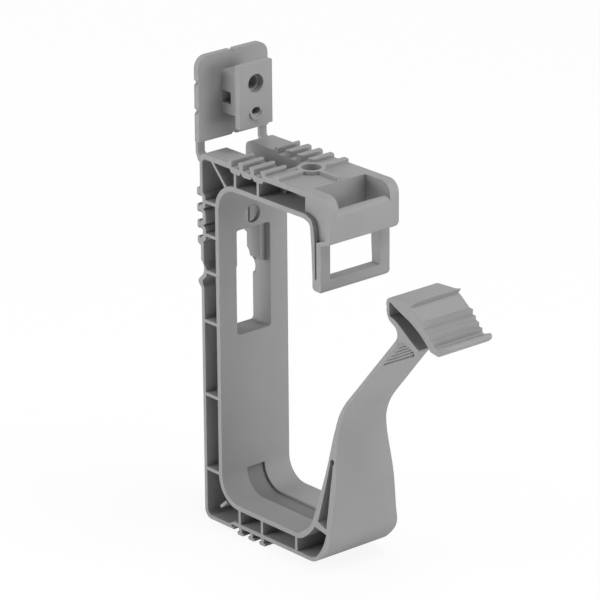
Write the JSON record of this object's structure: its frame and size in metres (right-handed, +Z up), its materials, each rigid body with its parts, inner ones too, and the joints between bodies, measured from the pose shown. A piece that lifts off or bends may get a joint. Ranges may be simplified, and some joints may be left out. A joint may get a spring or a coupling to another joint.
{
  "type": "cable bundle holder",
  "caption": "C-shaped wall or ceiling holder for a bundle of data cables, with a folding latch arm shown open, ribbed walls, clip-on slots and a spacer plate still joined by strips.",
  "frame": {"origin": "middle of the wall screw hole, on its axis and half-way through the inner rear wall", "axes": "+Z up the wall, +Y towards the wall, -Y towards the latch and the open arm, X across the width"},
  "size_m": [0.0352, 0.1373, 0.1931],
  "materials": {
    "grey_plastic": "satin"
  },
  "bodies": {
    "root": {"cable_holder": "grey_plastic"}
  },
  "joints": []
}
